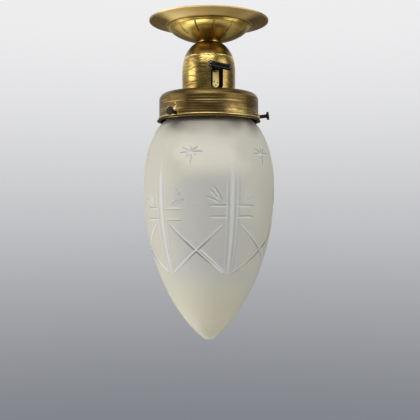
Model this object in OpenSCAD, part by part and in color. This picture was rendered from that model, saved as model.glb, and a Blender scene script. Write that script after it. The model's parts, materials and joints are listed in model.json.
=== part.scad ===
// Ceiling lamp with a spun brass canopy, a bell-shaped lampholder cover with a switch key,
// a shade gallery with three thumb screws and a closed teardrop glass shade.
// The origin is on the ceiling, in the middle of the bracket, and the lamp hangs down along -Z.
// The front is -Y and the right-hand side is +X.

/* [Canopy] */
// Radius of the canopy's rim
canopy_r = 53.4; // [51:0.1:60]
// Thickness of the spun brass of the canopy, the bell and the gallery
brass_wall = 0.8; // [0.6:0.05:1.2]
// Height of the upright lip round the rim
canopy_lip_h = 1.2; // [0.8:0.1:2.5]
// Radius of the step ring, where the hollow band ends
step_r = 37.2; // [36.6:0.1:44]
// How far the hollow band comes down between the lip and the step ring
cove_drop = 3.8; // [2.5:0.1:6]
// Height of the step ring
step_h = 1.2; // [0.8:0.1:3]
// Radius of the dome where it leaves the step ring
dome_r = 36; // [34:0.1:36.2]
// Full depth of the dome's curve below the step ring
dome_drop = 13.1; // [11:0.1:20]
// Radius of the flat middle of the canopy
canopy_flat_r = 9.6; // [9:0.1:14]
// Number of engraved lines on the dome
line_count = 13; // [8:1:20]
// Width of an engraved line
line_w = 0.8; // [0.4:0.1:1.2]
// Depth of an engraved line
line_depth = 0.35; // [0.2:0.05:0.4]
// Turn of the first engraved line, right of the front
line_turn = 8; // [0:1:27]

/* [Ceiling bracket] */
// Distance between the two ceiling screws
screw_spacing = 60; // [52:1:64]
// Radius of the ceiling screws' holes
screw_hole_r = 2.25; // [1.75:0.05:2.75]
// Length of the steel strap
strap_l = 78; // [74:1:80]
// Width of the steel strap
strap_w = 14; // [12:1:16]
// Thickness of the steel strap
strap_t = 2; // [1.5:0.1:2.2]
// How far the strap's middle is set down from the ceiling
strap_set = 6; // [6:0.1:6.8]
// Half length of the strap's set-down middle
strap_mid = 13; // [12:0.5:15]
// Half the distance between the strap's two flat ends
strap_ramp_end = 22; // [20:0.5:23]
// Length of the strap's side arm from the lamp's axis
arm_l = 23; // [21:0.5:24]
// Width of the strap's side arm
arm_w = 12; // [8:1:14]

/* [Hollow nipple and nuts] */
// Outer radius of the nipple, over its thread
nipple_r = 5; // [4.8:0.1:5.5]
// Radius of the nipple's bore
nipple_bore_r = 3.5; // [3:0.1:3.8]
// Height of a lock nut
nut_h = 2.8; // [2.2:0.1:3]
// Distance across the flats of a lock nut
nut_flats = 14; // [13:0.5:16]
// Radius of the neck collar under the canopy
collar_r = 10.2; // [9.5:0.1:11]
// Height of the neck collar
collar_h = 1.4; // [1:0.1:3]

/* [Bell cover] */
// Outer radius of the bell cover
bell_r = 23.8; // [23:0.1:26]
// Radius of the bell's flat top
bell_top_r = 11.2; // [9.5:0.1:12]
// Height of the whole bell
bell_h = 45.6; // [45:0.1:52]
// Height of the curve that rounds the bell's shoulder
bell_curve = 33.5; // [32:0.1:36]
// Width of the upright slot for the key
slot_w = 11.4; // [9.5:0.1:13]
// Height of the slot
slot_h = 22.3; // [20:0.1:23]
// Height of the bell's wall below the slot
slot_rise = 2.2; // [1.5:0.1:3]
// Corner radius of the slot
slot_corner_r = 2.5; // [1:0.1:4]

/* [Switch key] */
// Turn of the key's shaft and of the slot, right of the front
key_turn = 18; // [0:1:30]
// Height of the key's shaft above the bell's lower edge
key_rise = 20; // [19:0.1:20.5]
// Distance of the key's handle from the lamp's axis
key_out = 31.5; // [29:0.1:36]
// Length of the handle
key_l = 22; // [16:0.5:24]
// Thickness of the handle
key_d = 5.4; // [4.5:0.1:6]
// Tilt of the handle at rest, right end down
key_tilt = 7.5; // [0:0.5:20]
// Radius of the key's shaft
shaft_r = 1.9; // [1.6:0.1:2]
// Radius of the rotor drum
rotor_r = 4.2; // [3.5:0.1:4.4]
// Length of the rotor drum
rotor_l = 8; // [5:0.5:8.5]

/* [Lampholder] */
// Outer radius of the lampholder's brass shell
holder_r = 19.6; // [19.3:0.1:20.5]
// Wall of the lampholder's shell and cap
holder_wall = 0.8; // [0.6:0.05:0.9]
// Height of the lampholder's cap
cap_h = 18.6; // [18:0.1:19.5]
// How far the shell reaches below the gallery's plate
holder_below = 10.5; // [9:0.1:13]
// Thickness of the fibre liner
liner_t = 1; // [0.6:0.1:1.1]
// Width of the window in the shell
window_w = 17; // [15:0.5:20]
// Width of the bright strap in the window
strap_bright_w = 5.6; // [5:0.1:7]
// Thickness of the bright strap
strap_bright_t = 0.8; // [0.6:0.1:1]
// Radius of the bulb's thread, for an E27 lampholder
thread_r = 13.2; // [12.8:0.1:13.4]
// Wall of the screw shell
thread_wall = 0.45; // [0.35:0.05:0.6]
// Height of the porcelain above the screw shell
porcelain_h = 16; // [15.6:0.1:17]
// Height of the porcelain ring at the lampholder's lower end
insulator_h = 5; // [3:0.5:6]
// Height of the shade ring under the gallery
ring_h = 6; // [4:0.5:7]
// Outer radius of the shade ring
ring_r = 24.5; // [23:0.1:27]

/* [Shade gallery] */
// Outer radius of the gallery's skirt
gallery_r = 44.3; // [44:0.1:46]
// Height of the gallery
gallery_h = 25; // [22:0.1:30]
// Radius of the gallery's rounded shoulder
shoulder_r = 6.5; // [3:0.1:9]
// Radius of the bead above the lip
bead_r = 0.9; // [0.5:0.1:1.1]
// Radius of the thin out-turned lip
lip_r = 46.4; // [46.2:0.1:48]
// Height of the thumb screws above the gallery's lower edge
screw_rise = 3.7; // [3.6:0.1:5]
// Radius of a thumb screw's boss
boss_r = 2.4; // [2.2:0.1:2.7]
// How far a boss stands out of the skirt
boss_out = 1.6; // [1:0.1:2.5]

/* [Thumb screws] */
// Radius of a thumb screw's shank
shank_r = 1.6; // [1.2:0.05:1.7]
// Distance of the screw's outer face from the lamp's axis
head_out = 54; // [52.5:0.1:56]
// Radius of the screw's round head
head_r = 3.6; // [3:0.1:4.5]
// Thickness of the screw's head
head_t = 2; // [1.5:0.1:3]
// How much the screws tip up, outwards
screw_tip_up = 6; // [0:0.5:7]
// Angle of the right-hand screw from +X, towards the rear
screw_turn = -8; // [-20:1:20]

/* [Glass shade] */
// Largest radius of the glass
glass_r = 58.4; // [54:0.1:64]
// Wall of the glass
glass_wall = 2.8; // [2:0.1:3.5]
// Space between the gallery's skirt and the glass neck, where the screws hold it
neck_gap = 5.1; // [4.5:0.1:6]
// How far the rolled lip round the neck's mouth stands out of the neck
mouth_out = 2; // [1.4:0.1:2.4]
// Height of the rolled lip
mouth_h = 5; // [3:0.1:5.5]
// Height of the shade from its widest place up to the neck
upper_h = 58; // [45:0.5:70]
// Height of the shade from its widest place down to where its sides would meet
lower_h = 139; // [110:1:160]

/* [Bulb] */
// Radius of the bulb's round end
bulb_r = 30; // [22.5:0.5:32]
// Length of the whole bulb with its cap
bulb_l = 108; // [96:1:115]
// Length of the bulb's screw cap
bulb_cap_l = 25; // [23:0.5:27]

/* [Wiring] */
// Radius of a covered wire
wire_r = 0.8; // [0.6:0.05:0.9]
// Length of the terminal block
block_l = 18; // [16:0.5:20]
// Width of the terminal block
block_w = 11; // [9:0.5:11.5]
// Height of the terminal block
block_h = 5.2; // [4.5:0.1:5.5]

/* [Hidden] */
// Clearance of a piece that turns or slides in its hole
run_fit = 0.05;
// Clearance of a screwed or pushed joint within one body
seat_fit = 0.05;
// Clearance between a fixed piece and a piece that moves or is lifted out
free_gap = 0.3;
// Exponents of the outlines, found by laying the curves over the lamp's outline
dome_curve = 1.5;
bell_round = 2.8;
glass_low_round = 2.1;
glass_low_power = 0.775;
glass_up_round = 2.1;
glass_up_power = 0.72;
// Where the glass's side passes into its round tip, as a part of lower_h
tip_start = 0.978;
// Points along a curved outline
curve_steps = 18;

// Levels down from the ceiling
cove_low_z = -canopy_lip_h - cove_drop;
dome_z = cove_low_z - step_h;
dome_end = pow(1 - pow(canopy_flat_r / dome_r, 2), 1 / dome_curve);
canopy_low_z = dome_z - dome_drop * dome_end;
bell_top_z = canopy_low_z - collar_h;
bell_low_z = bell_top_z - bell_h;
bell_end = pow(1 - pow(bell_top_r / bell_r, 2), 1 / bell_round);
bell_straight_z = bell_top_z - bell_curve * bell_end;
gallery_low_z = bell_low_z - gallery_h;
plate_low_z = bell_low_z - brass_wall;
key_z = bell_low_z + key_rise;
cap_top_z = bell_top_z - brass_wall;
cap_low_z = cap_top_z - cap_h;
holder_low_z = plate_low_z - holder_below;
screw_z = gallery_low_z + screw_rise;
strap_mid_z = -strap_set;
nipple_top_z = strap_mid_z + nut_h + 0.4;
nipple_low_z = cap_top_z - 5.5;

// The porcelain switch body, the liner and the screw shell hang from the cap's inside
porcelain_r = holder_r - holder_wall - liner_t - 2 * seat_fit;
porcelain_top_z = cap_low_z + 0.8;
porcelain_floor_z = porcelain_top_z - porcelain_h;
thread_outer_r = thread_r + thread_wall;
thread_low_z = holder_low_z - 1;
contact_z = porcelain_floor_z - 0.9;
cup_low_z = porcelain_floor_z - 7;
liner_low_z = bell_low_z + slot_rise - 1;
cavity_r = rotor_r + 1.4;
cavity_in = 2.5;
cavity_out = cavity_in + rotor_l + 1;
bush_r = shaft_r + 1.4;
bright_in = holder_r - 0.4;
bright_out = bright_in + strap_bright_t;
hub_r = key_d / 2 - 0.1;
key_collar_r = bush_r + 0.5;
rivet_r = 0.55;
// Places of the rivets on the bright strap: sideways, and up from the key's shaft
RIVETS = [[-1.6, -12], [1.7, -12.8], [0.1, -15]];
terminal_spread = 9;
cap_neck_r = nipple_r + 2.8;
cap_skirt_r = holder_r + seat_fit + holder_wall;
cap_round_z = cap_top_z - 4.5;
cap_skirt_h = 4;

// The terminal block hangs under the strap's arm
block_top_z = strap_mid_z - strap_t;
block_near_y = nut_flats / sqrt(3) + 0.8;
block_y = block_near_y + block_w / 2;
block_screw_r = 1.4;
pole_x = block_l / 4;
terminal_r = 1.5;

// The glass, whose rolled lip is 80 mm across and goes into the gallery
neck_r = gallery_r - brass_wall - neck_gap;
mouth_r = neck_r + mouth_out;
glass_wide_z = gallery_low_z + 0.7 - upper_h;
neck_top_z = glass_wide_z + upper_h;
screw_tip_r = neck_r + free_gap;
screw_tip_z = screw_z - (gallery_r - screw_tip_r) * tan(screw_tip_up);
mouth_low_z = screw_tip_z + shank_r + free_gap + 0.2;
mouth_top_z = mouth_low_z + mouth_h;

// The bulb
bulb_top_z = contact_z;
bulb_cap_low_z = bulb_top_z - bulb_cap_l;
bulb_low_z = bulb_top_z - bulb_l;
bulb_ball_z = bulb_low_z + bulb_r;
bulb_neck_r = thread_r - 1.2;
bulb_glass_wall = 0.7;
bulb_foot_z = bulb_cap_low_z + 2;
// Part of the round end's radius at which the neck's curve meets it
bulb_touch = 0.55;
bulb_neck_low_z = bulb_cap_low_z - 6;
bulb_touch_z = bulb_ball_z + bulb_r * bulb_touch;
bulb_touch_r = bulb_r * sqrt(1 - pow(bulb_touch, 2));

// The thumb screws' angles from +X, towards the rear
SCREW_TURNS = [screw_turn, screw_turn + 120, screw_turn + 240];

$fn = 96;

// Helpers for outlines of radius and height

function reversed(points) = [for (i = [len(points) - 1 : -1 : 0]) points[i]];

function tangent(points, i) =
    let (d = points[min(i + 1, len(points) - 1)] - points[max(i - 1, 0)])
    d / norm(d);

// The outline moved sideways by a wall's thickness, to the right of its direction of travel
function inset(points, wall) = [
    for (i = [0 : len(points) - 1])
        let (t = tangent(points, i))
        points[i] + wall * [t[1], -t[0]]
];

function arc(centre, r, from, to, steps) = [
    for (i = [0 : steps])
        let (a = from + (to - from) * i / steps)
        centre + r * [cos(a), sin(a)]
];

module ring(inner, outer, low, high) {
    difference() {
        translate([0, 0, low]) cylinder(r = outer, h = high - low);
        translate([0, 0, low - 1]) cylinder(r = inner, h = high - low + 2);
    }
}

// Places things so that +X points out along the key's shaft
module at_key() {
    translate([0, 0, key_z]) rotate([0, 0, key_turn - 90]) children();
}

// A rod along the key's shaft, between two distances from the lamp's axis
module key_rod(r, from, to) {
    translate([from, 0, 0]) rotate([0, 90, 0]) cylinder(r = r, h = to - from, $fn = 48);
}

// Places things so that +X points out along a thumb screw, from the skirt's outside
module at_screw(turn) {
    rotate([0, 0, turn])
        translate([gallery_r, 0, screw_z])
            rotate([0, -screw_tip_up, 0]) children();
}

// Canopy and bracket

dome_line = [
    for (i = [0 : curve_steps])
        let (t = dome_end * i / curve_steps)
        [dome_r * sqrt(1 - pow(t, dome_curve)), dome_z - dome_drop * t]
];

cove_line = [
    for (i = [0 : 10])
        let (s = i / 10)
        [canopy_r - brass_wall - (canopy_r - brass_wall - step_r) * s,
            -canopy_lip_h - cove_drop * s * s]
];

canopy_line = concat(
    [[canopy_r, 0], [canopy_r, -canopy_lip_h + 0.3], [canopy_r - 0.3, -canopy_lip_h]],
    cove_line,
    [[step_r, dome_z + 0.3], [step_r - 0.3, dome_z]],
    dome_line,
    [[nipple_r + seat_fit, canopy_low_z]]
);

// The inside follows the outside at the wall's thickness, in plain steps under the step ring
canopy_inside = concat(
    [[nipple_r + seat_fit, canopy_low_z + brass_wall]],
    reversed(inset(dome_line, brass_wall)),
    [for (p = reversed(cove_line)) [min(p[0], canopy_r - 2 * brass_wall), p[1] + brass_wall]],
    [[canopy_r - brass_wall, 0]]
);

module canopy() {
    color("darkgoldenrod") difference() {
        rotate_extrude() polygon(concat(canopy_line, canopy_inside));
        for (i = [0 : line_count - 1])
            rotate([0, 0, -90 + line_turn + i * 360 / line_count]) engraved_line();
    }
}

// A thin upright slab along the dome's curve, from outside it down to the line's depth
module engraved_line() {
    line = [for (i = [1 : curve_steps - 3]) dome_line[i]];
    outside = inset(line, -1);
    inside = inset(line, line_depth);
    rotate([90, 0, 0])
        linear_extrude(height = line_w, center = true)
            polygon(concat(outside, reversed(inside)));
}

// The strap's side outline: flat ends on the ceiling, a set-down middle and two ramps
strap_top = [
    [-strap_l / 2, 0], [-strap_ramp_end, 0], [-strap_mid - 2, strap_mid_z],
    [strap_mid + 2, strap_mid_z], [strap_ramp_end, 0], [strap_l / 2, 0]
];

module ceiling_bracket() {
    color("dimgray") difference() {
        union() {
            rotate([90, 0, 0])
                linear_extrude(height = strap_w, center = true)
                    polygon(concat(
                        strap_top,
                        reversed([for (p = strap_top) [p[0], p[1] - strap_t]])
                    ));
            translate([-arm_w / 2, 0, strap_mid_z - strap_t]) cube([arm_w, arm_l, strap_t]);
        }
        translate([0, 0, strap_mid_z - strap_t - 1])
            cylinder(r = nipple_r + seat_fit, h = strap_t + 2);
        for (side = [-1, 1])
            translate([side * screw_spacing / 2, 0, -strap_t - 1])
                cylinder(r = screw_hole_r, h = strap_t + 2);
        translate([0, block_y, strap_mid_z - strap_t - 1])
            cylinder(r = block_screw_r + seat_fit, h = strap_t + 2);
    }
}

module nipple() {
    color("goldenrod") ring(nipple_bore_r, nipple_r, nipple_low_z, nipple_top_z);
}

module hex_nut(low) {
    difference() {
        translate([0, 0, low]) cylinder(r = nut_flats / sqrt(3), h = nut_h, $fn = 6);
        translate([0, 0, low - 1]) cylinder(r = nipple_r + seat_fit, h = nut_h + 2);
    }
}

module bracket_nuts() {
    color("silver") {
        hex_nut(strap_mid_z);
        hex_nut(strap_mid_z - strap_t - nut_h);
    }
}

module neck_collar() {
    color("gold") rotate_extrude()
        polygon([
            [nipple_r + seat_fit, canopy_low_z],
            [collar_r - 0.4, canopy_low_z],
            [collar_r, canopy_low_z - 0.4],
            [collar_r, bell_top_z + 0.4],
            [collar_r - 0.4, bell_top_z],
            [nipple_r + seat_fit, bell_top_z]
        ]);
}

// Wiring

module terminal_block() {
    color("ivory") difference() {
        translate([-block_l / 2, block_near_y, block_top_z - block_h])
            cube([block_l, block_w, block_h]);
        for (side = [-1, 1]) {
            // Wire way through the block along Y, and out of its end along X
            translate([side * pole_x, block_near_y - 1, block_top_z - block_h / 2])
                rotate([-90, 0, 0]) cylinder(r = wire_r + 0.4, h = block_w + 2, $fn = 32);
            for (row = [-1, 1])
                translate([side * pole_x, block_y + row * block_w / 4, block_top_z - block_h - 1])
                    cylinder(r = terminal_r + seat_fit, h = block_h / 2 + 1 - wire_r - 0.4, $fn = 32);
        }
        translate([0, block_y, block_top_z - block_h - 1])
            cylinder(r = block_screw_r + seat_fit, h = block_h + 2, $fn = 32);
    }
}

// Four grub screws, driven from below, two for each pole
module terminal_screws() {
    color("goldenrod") for (side = [-1, 1], row = [-1, 1])
        translate([side * pole_x, block_y + row * block_w / 4, block_top_z - block_h])
            difference() {
                cylinder(r = terminal_r, h = block_h / 2 - wire_r - 0.4, $fn = 32);
                translate([-0.3, -terminal_r - 1, -1]) cube([0.6, 2 * terminal_r + 2, 1.5]);
            }
}

// Cheese-head screw that holds the block under the arm
module block_screw() {
    color("silver") {
        translate([0, block_y, block_top_z - block_h])
            cylinder(r = block_screw_r, h = block_h + strap_t, $fn = 32);
        translate([0, block_y, strap_mid_z]) cylinder(r = 2.6, h = 1.6, $fn = 32);
    }
}

// A round wire through a list of points, with a slightly thicker ball in each bend
module wire(points) {
    for (i = [0 : len(points) - 2])
        let (d = points[i + 1] - points[i], l = norm(d))
            translate(points[i])
                rotate([0, acos(d[2] / l), atan2(d[1], d[0])])
                    cylinder(r = wire_r, h = l, $fn = 24);
    for (i = [1 : len(points) - 2]) translate(points[i]) sphere(r = wire_r + 0.03, $fn = 24);
}

// From the block's face beside the nuts, over the nut and down through the nipple's bore
wire_route = [
    [pole_x, block_near_y + 2, block_top_z - block_h / 2],
    [pole_x + 0.6, block_near_y - 1, block_top_z - block_h / 2 + 0.4],
    [arm_w / 2 + 4.2, strap_w / 2 + wire_r + 0.5, strap_mid_z + 0.3],
    [nut_flats / 2 + 1.5, 4, nipple_top_z + wire_r + 0.5],
    [1.3, 0.4, nipple_top_z + wire_r + 0.5],
    [1.3, 0, nipple_top_z - 2],
    [1.3, 0, nipple_low_z - 1],
    [terminal_spread, 0, porcelain_top_z + 2 + wire_r * 0.75]
];

module lead_live() {
    color("darkred") wire(wire_route);
}

module lead_neutral() {
    color("black") mirror([1, 0, 0]) wire(wire_route);
}

// Bell cover

bell_line = concat(
    [[bell_r, bell_low_z]],
    [
        for (i = [0 : curve_steps])
            let (t = bell_end * i / curve_steps)
            [bell_r * sqrt(1 - pow(t, bell_round)), bell_straight_z + bell_curve * t]
    ]
);

bell_inside = concat(
    [
        [nipple_r + seat_fit, bell_top_z - brass_wall],
        [bell_top_r - brass_wall / 4, bell_top_z - brass_wall]
    ],
    [for (p = reversed(inset(bell_line, -brass_wall))) if (p[1] < bell_top_z - brass_wall) p]
);

module bell_cover() {
    color("darkgoldenrod") difference() {
        rotate_extrude()
            polygon(concat(bell_line, [[nipple_r + seat_fit, bell_top_z]], bell_inside));
        key_slot();
    }
}

// Upright slot with round corners, cut out along the key's shaft
module key_slot() {
    low = bell_low_z + slot_rise;
    rotate([0, 0, key_turn - 90])
        translate([0, 0, low])
            rotate([90, 0, 90])
                linear_extrude(height = bell_r + 5) {
                    translate([-slot_w / 2, slot_corner_r])
                        square([slot_w, slot_h - 2 * slot_corner_r]);
                    translate([-slot_w / 2 + slot_corner_r, 0])
                        square([slot_w - 2 * slot_corner_r, slot_h]);
                    for (x = [-1, 1], y = [slot_corner_r, slot_h - slot_corner_r])
                        translate([x * (slot_w / 2 - slot_corner_r), y])
                            circle(r = slot_corner_r, $fn = 32);
                }
}

// Lampholder

cap_line = concat(
    [[cap_skirt_r, cap_low_z], [cap_skirt_r, cap_low_z + cap_skirt_h]],
    [
        for (i = [1 : 10])
            let (a = 90 * i / 10)
            [cap_neck_r + (cap_skirt_r - cap_neck_r) * cos(a),
                cap_low_z + cap_skirt_h + (cap_round_z - cap_low_z - cap_skirt_h) * sin(a)]
    ]
);

module socket_cap() {
    color("gold") difference() {
        rotate_extrude()
            polygon(concat(
                cap_line,
                [
                    [cap_neck_r, cap_top_z], [nipple_r + seat_fit, cap_top_z],
                    [nipple_r + seat_fit, cap_round_z - holder_wall]
                ],
                [for (p = reversed(inset(cap_line, -holder_wall)))
                    if (p[1] < cap_round_z - holder_wall) p]
            ));
        key_window(bush_r + free_gap);
    }
}

// Hole along the key's shaft, clear of the bush
module key_window(r) {
    at_key() key_rod(r, 1, bell_r + 5);
}

module socket_shell() {
    top = cap_low_z + cap_skirt_h - 1;
    low = bell_low_z + slot_rise - 2.5;
    color("gold") difference() {
        ring(holder_r - holder_wall, holder_r, holder_low_z, top);
        // Window for the switch
        rotate([0, 0, key_turn - 90])
            translate([0, -window_w / 2, low]) cube([bell_r, window_w, key_z + bush_r + 1.2 - low]);
    }
}

module fibre_liner() {
    color("maroon") difference() {
        ring(porcelain_r + seat_fit, porcelain_r + seat_fit + liner_t, liner_low_z, porcelain_top_z);
        at_key() key_rod(bush_r + seat_fit, 1, bell_r);
        rivet_places() key_rod(rivet_r + seat_fit, 1, bell_r);
    }
}

module rivet_places() {
    at_key() for (p = RIVETS) translate([0, p[0], p[1]]) children();
}

// Porcelain block: solid above, with the switch's chamber, and a cup below for the screw shell
module switch_body() {
    color("white") difference() {
        translate([0, 0, cup_low_z]) cylinder(r = porcelain_r, h = porcelain_top_z - cup_low_z);
        translate([0, 0, cup_low_z - 1])
            cylinder(r = thread_outer_r + seat_fit, h = porcelain_floor_z - cup_low_z + 1);
        at_key() {
            key_rod(cavity_r, cavity_in, cavity_out);
            key_rod(shaft_r + free_gap, 1, bell_r);
            // Seat of the strap's bush
            key_rod(bush_r + seat_fit, porcelain_r - 2, bell_r);
        }
        rivet_places() key_rod(rivet_r + seat_fit, porcelain_r - 4, bell_r);
        for (side = [-1, 1])
            translate([side * terminal_spread, 0, porcelain_top_z - 4])
                cylinder(r = 1.2 + seat_fit, h = 5, $fn = 32);
    }
}

// The two wire screws on top of the porcelain
module holder_terminals() {
    color("goldenrod") for (side = [-1, 1]) translate([side * terminal_spread, 0, 0]) {
        translate([0, 0, porcelain_top_z - 4]) cylinder(r = 1.2, h = 4, $fn = 32);
        translate([0, 0, porcelain_top_z]) cylinder(r = 2.4, h = 2, $fn = 32);
    }
}

// Two leaf springs in the switch's chamber, above and below the rotor
module contact_springs() {
    leaf_w = 3.6;
    leaf_t = 0.5;
    color("goldenrod") at_key() for (side = [-1, 1])
        translate([
            cavity_in, -leaf_w / 2,
            side > 0 ? rotor_r + free_gap : -rotor_r - free_gap - leaf_t
        ])
            cube([rotor_l, leaf_w, leaf_t]);
}

// Bright strap with a bush for the shaft and a rounded lower end
module key_bracket() {
    drop = key_z - bell_low_z - slot_rise - 0.8;
    half = strap_bright_w / 2;
    color("khaki") difference() {
        at_key() union() {
            translate([bright_in, 0, 0])
                rotate([90, 0, 90])
                    linear_extrude(height = strap_bright_t) {
                        translate([-half, -drop + half]) square([strap_bright_w, drop - half]);
                        translate([0, -drop + half]) circle(r = half, $fn = 48);
                        circle(r = bush_r + 0.8, $fn = 48);
                    }
            key_rod(bush_r, porcelain_r - 2, bright_out);
        }
        at_key() key_rod(shaft_r + run_fit, 1, bell_r);
        rivet_places() key_rod(rivet_r + seat_fit, 1, bell_r);
    }
}

module bracket_rivets() {
    color("black") rivet_places() {
        key_rod(rivet_r, porcelain_r - 3, bright_out + 0.2);
    }
}

// Bent brass tongue under the porcelain's floor
module centre_contact() {
    color("goldenrod") {
        translate([0, 0, contact_z]) cylinder(r = 3, h = porcelain_floor_z - contact_z, $fn = 48);
        translate([-thread_r + 3, -2.5, porcelain_floor_z - 0.5]) cube([thread_r - 3, 5, 0.5]);
    }
}

module screw_shell() {
    color("goldenrod") ring(thread_r, thread_outer_r, thread_low_z, porcelain_floor_z - 0.6);
}

module insulating_ring() {
    color("ivory")
        ring(thread_outer_r + seat_fit, holder_r - holder_wall - seat_fit,
            holder_low_z, holder_low_z + insulator_h);
}

// Gallery

// Outside of the gallery from its hole, over the shoulder and down the skirt to the lip
gallery_line = concat(
    [[holder_r + seat_fit, bell_low_z]],
    arc([gallery_r - shoulder_r, bell_low_z - shoulder_r], shoulder_r, 90, 0, 10),
    arc([gallery_r, gallery_low_z + 1.7 + bead_r], bead_r, 90, -90, 8),
    [[lip_r - 0.5, gallery_low_z + 0.9], [lip_r, gallery_low_z + 0.5], [lip_r, gallery_low_z]]
);

gallery_inside = concat(
    [[gallery_r - brass_wall, gallery_low_z]],
    arc([gallery_r - shoulder_r, bell_low_z - shoulder_r], shoulder_r - brass_wall, 0, 90, 10),
    [[holder_r + seat_fit, plate_low_z]]
);

module gallery() {
    color("peru") difference() {
        rotate_extrude() polygon(concat(gallery_line, gallery_inside));
        for (turn = SCREW_TURNS)
            at_screw(turn) screw_rod(boss_r + seat_fit, -brass_wall - 4, boss_out + 4);
    }
}

// A rod along a thumb screw, between two distances from the skirt's outside
module screw_rod(r, from, to) {
    translate([from, 0, 0]) rotate([0, 90, 0]) cylinder(r = r, h = to - from, $fn = 40);
}

// Three threaded brass bushes through the skirt
module screw_bosses() {
    color("darkgoldenrod") for (turn = SCREW_TURNS) at_screw(turn) difference() {
        rotate([0, 90, 0]) rotate_extrude($fn = 40)
            polygon([
                [0, -brass_wall - 0.6], [boss_r, -brass_wall - 0.6], [boss_r, boss_out - 0.9],
                [boss_r - 0.5, boss_out], [0, boss_out]
            ]);
        screw_rod(shank_r + run_fit, -brass_wall - 2, boss_out + 1);
    }
}

module shade_ring() {
    step_z = plate_low_z - ring_h * 0.35;
    color("goldenrod") {
        ring(holder_r + seat_fit, ring_r, step_z, plate_low_z);
        ring(holder_r + seat_fit, ring_r - 2, plate_low_z - ring_h, step_z);
    }
}

// Glass shade

// The lower part of the glass, from the widest place down to the middle of the round tip
function glass_lower(wide, drop) =
    let (
        side = [
            for (i = [0 : curve_steps * 2])
                let (s = i / (curve_steps * 2), t = tip_start * (1 - pow(1 - s, 1.6)))
                [wide * pow(1 - pow(t, glass_low_round), glass_low_power),
                    glass_wide_z - drop * t]
        ],
        left = 1 - pow(tip_start, glass_low_round),
        bend = pow(tip_start, glass_low_round - 1) * pow(left, glass_low_power - 1),
        slope = wide / drop * glass_low_round * glass_low_power * bend,
        join = side[curve_steps * 2],
        round_z = join[1] + join[0] * slope,
        round_r = join[0] * sqrt(1 + slope * slope),
        turn = 90 - atan(slope)
    )
    concat(side, [
        for (i = [1 : 8])
            let (a = turn * (1 - i / 8))
            [round_r * sin(a), round_z - round_r * cos(a)]
    ]);

// The upper part of the glass, from just above the widest place to the neck
function glass_upper(narrow, wide) = [
    for (i = [1 : curve_steps])
        let (s = i / curve_steps, t = 1 - pow(1 - s, 1.6))
        [narrow + (wide - narrow) * pow(1 - pow(t, glass_up_round), glass_up_power),
            glass_wide_z + upper_h * t]
];

glass_mouth = [
    [neck_r, mouth_low_z], [mouth_r - 0.8, mouth_low_z], [mouth_r, mouth_low_z + 0.8],
    [mouth_r, mouth_top_z - 1.5], [mouth_r - 1.5, mouth_top_z],
    [neck_r - glass_wall + 0.8, mouth_top_z], [neck_r - glass_wall, mouth_top_z - 0.8]
];

module glass_shade() {
    outside_upper = glass_upper(neck_r, glass_r);
    inside_upper = glass_upper(neck_r - glass_wall, glass_r - glass_wall);
    color("gainsboro") rotate_extrude()
        polygon(concat(
            reversed(glass_lower(glass_r, lower_h)),
            outside_upper,
            glass_mouth,
            reversed(inside_upper),
            glass_lower(glass_r - glass_wall, lower_h - 1.6 * glass_wall)
        ));
}

// Bulb

// Cap, glass and the parts inside, down from the centre contact
module bulb_cap() {
    color("silver") rotate_extrude()
        polygon([
            [thread_r - 3.4, bulb_top_z - 1.6], [thread_r - free_gap, bulb_top_z - 4],
            [thread_r - free_gap, bulb_cap_low_z], [bulb_neck_r + seat_fit, bulb_cap_low_z],
            [bulb_neck_r + seat_fit, bulb_top_z - 5], [thread_r - 4.4, bulb_top_z - 2.6]
        ]);
}

module bulb_insulator() {
    color("black") rotate_extrude()
        polygon([
            [2.8, bulb_top_z - 0.8], [thread_r - 3.6, bulb_top_z - 1.7],
            [thread_r - 4.5, bulb_top_z - 2.6], [2.8, bulb_top_z - 2.6]
        ]);
}

module bulb_contact() {
    color("silver") translate([0, 0, bulb_top_z - 2.6]) cylinder(r = 2.7, h = 2.6, $fn = 48);
}

// The neck flares down to the round end, which takes over where the two meet
function bulb_outline(wall) = concat(
    [[bulb_neck_r - wall, bulb_cap_low_z + 8]],
    [
        for (i = [0 : 5])
            let (s = i / 6)
            [bulb_neck_r + (bulb_touch_r - bulb_neck_r) * pow(s, 1.7) - wall,
                bulb_neck_low_z + (bulb_touch_z - bulb_neck_low_z) * s]
    ],
    arc([0, bulb_ball_z], bulb_r - wall, asin(bulb_touch), -90, 16)
);

module bulb_glass() {
    color("lightcyan") rotate_extrude()
        polygon(concat(bulb_outline(0), reversed(bulb_outline(bulb_glass_wall))));
}

// Glass foot inside the neck, with the pillar that steadies the filament
module bulb_stem() {
    color("lightcyan") {
        translate([0, 0, bulb_foot_z])
            cylinder(r = bulb_neck_r - bulb_glass_wall - seat_fit, h = 2);
        translate([0, 0, bulb_ball_z + 6]) cylinder(r = 1.5, h = bulb_foot_z - bulb_ball_z - 6, $fn = 32);
        translate([0, 0, bulb_ball_z + 6]) sphere(r = 2.2, $fn = 32);
    }
}

// Hoop of wire with two upright legs from the foot
module bulb_filament() {
    hoop_r = 8;
    leg_r = 0.4;
    color("dimgray") {
        translate([0, 0, bulb_ball_z])
            rotate_extrude() translate([hoop_r, 0]) circle(r = leg_r, $fn = 16);
        for (side = [-1, 1])
            translate([side * hoop_r, 0, bulb_ball_z])
                cylinder(r = leg_r, h = bulb_foot_z - bulb_ball_z, $fn = 16);
    }
}

// Pieces that turn with the key

module key_shaft() {
    color("dimgray") at_key() key_rod(shaft_r, cavity_in + 1, key_out - key_d / 2 - 1.2);
}

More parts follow.
